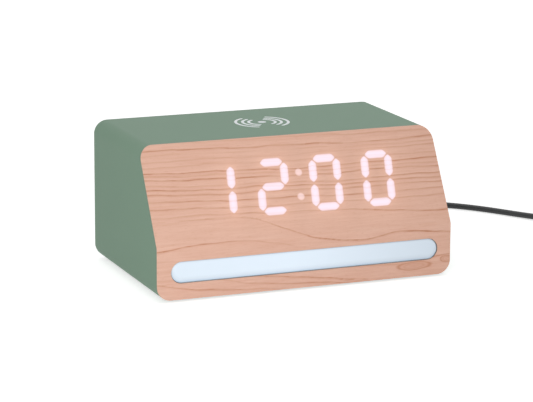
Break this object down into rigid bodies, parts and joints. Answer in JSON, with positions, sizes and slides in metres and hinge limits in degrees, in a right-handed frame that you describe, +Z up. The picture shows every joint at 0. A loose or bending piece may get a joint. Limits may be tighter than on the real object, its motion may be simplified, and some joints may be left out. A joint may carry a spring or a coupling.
{
  "type": "wireless charging alarm clock",
  "caption": "Wedge-fronted bedside clock with a wood veneer face, glowing digits, a night light bar and a wireless charging top, on a detachable lead.",
  "frame": {"origin": "middle of the clock's footprint, on the surface that its feet stand on, without the lead", "axes": "+X to the right of someone who reads the time, +Y from the front to the rear, +Z up"},
  "size_m": [0.3427, 0.1722, 0.0765],
  "materials": {
    "sage_plastic": "fine moulded texture, sage green",
    "beech_veneer": "thin pinkish beech veneer, satin, grain across the face",
    "milky_plastic": "translucent milky diffuser",
    "white_plastic": "white moulded",
    "grey_plastic": "grey green moulded caps",
    "circuit_board": "solder mask over glass fibre board",
    "copper_wire": "enamelled copper",
    "ferrite": "sintered, matt",
    "black_plastic": "moulded",
    "black_rubber": "matt",
    "plated_steel": "nickel plated",
    "wire_white": "soft insulation"
  },
  "bodies": {
    "clock": {"housing": "sage_plastic", "wood_face": "beech_veneer", "face_carrier": "white_plastic", "light_bar_lens": "milky_plastic", "light_bar_reflector": "white_plastic", "light_bar_board": "circuit_board", "digit_diffuser": "milky_plastic", "display_reflector": "white_plastic", "display_board": "circuit_board", "display_screw_1": "plated_steel", "display_screw_2": "plated_steel", "charging_coil": "copper_wire", "ferrite_plate": "ferrite", "coil_tray": "white_plastic", "charger_board": "circuit_board", "tray_screw_1": "plated_steel", "tray_screw_2": "plated_steel", "main_board": "circuit_board", "board_screw_1": "plated_steel", "board_screw_2": "plated_steel", "usb_socket": "plated_steel", "cell_holder": "black_plastic", "coin_cell": "plated_steel", "sounder": "black_plastic", "rear_cover": "sage_plastic", "cover_screw_1": "plated_steel", "cover_screw_2": "plated_steel", "cover_screw_3": "plated_steel", "cover_screw_4": "plated_steel", "button_board": "circuit_board", "set_switch_body": "black_plastic", "up_switch_body": "black_plastic", "down_switch_body": "black_plastic", "light_switch_body": "black_plastic", "foot_1": "black_rubber", "foot_2": "black_rubber", "foot_3": "black_rubber", "foot_4": "black_rubber", "coil_leads": "copper_wire", "display_ribbon": "wire_white", "button_ribbon": "wire_white", "bar_lead": "wire_white", "sounder_lead": "wire_white", "charger_lead": "wire_white", "cord_plug": "black_plastic", "cord_plug_shell": "plated_steel", "cord": "black_rubber", "cord_coil": "black_rubber", "cord_tie": "black_plastic", "cord_tail": "black_rubber", "far_plug_grip": "black_plastic", "far_plug_shell": "plated_steel"},
    "set_key": {"set_button": "grey_plastic", "set_switch_plunger": "black_plastic"},
    "up_key": {"up_button": "grey_plastic", "up_switch_plunger": "black_plastic"},
    "down_key": {"down_button": "grey_plastic", "down_switch_plunger": "black_plastic"},
    "light_key": {"light_button": "grey_plastic", "light_switch_plunger": "black_plastic"}
  },
  "joints": [
    {"name": "set_press", "type": "slide", "parent": "clock", "child": "set_key", "axis": [0, -1, 0], "range_m": [0, 0.0006], "stiffness_N_per_m": 1000, "springref_m": -0.0003},
    {"name": "up_press", "type": "slide", "parent": "clock", "child": "up_key", "axis": [0, -1, 0], "range_m": [0, 0.0006], "stiffness_N_per_m": 1000, "springref_m": -0.0003},
    {"name": "down_press", "type": "slide", "parent": "clock", "child": "down_key", "axis": [0, -1, 0], "range_m": [0, 0.0006], "stiffness_N_per_m": 1000, "springref_m": -0.0003},
    {"name": "light_press", "type": "slide", "parent": "clock", "child": "light_key", "axis": [0, -1, 0], "range_m": [0, 0.0006], "stiffness_N_per_m": 1000, "springref_m": -0.0003}
  ]
}
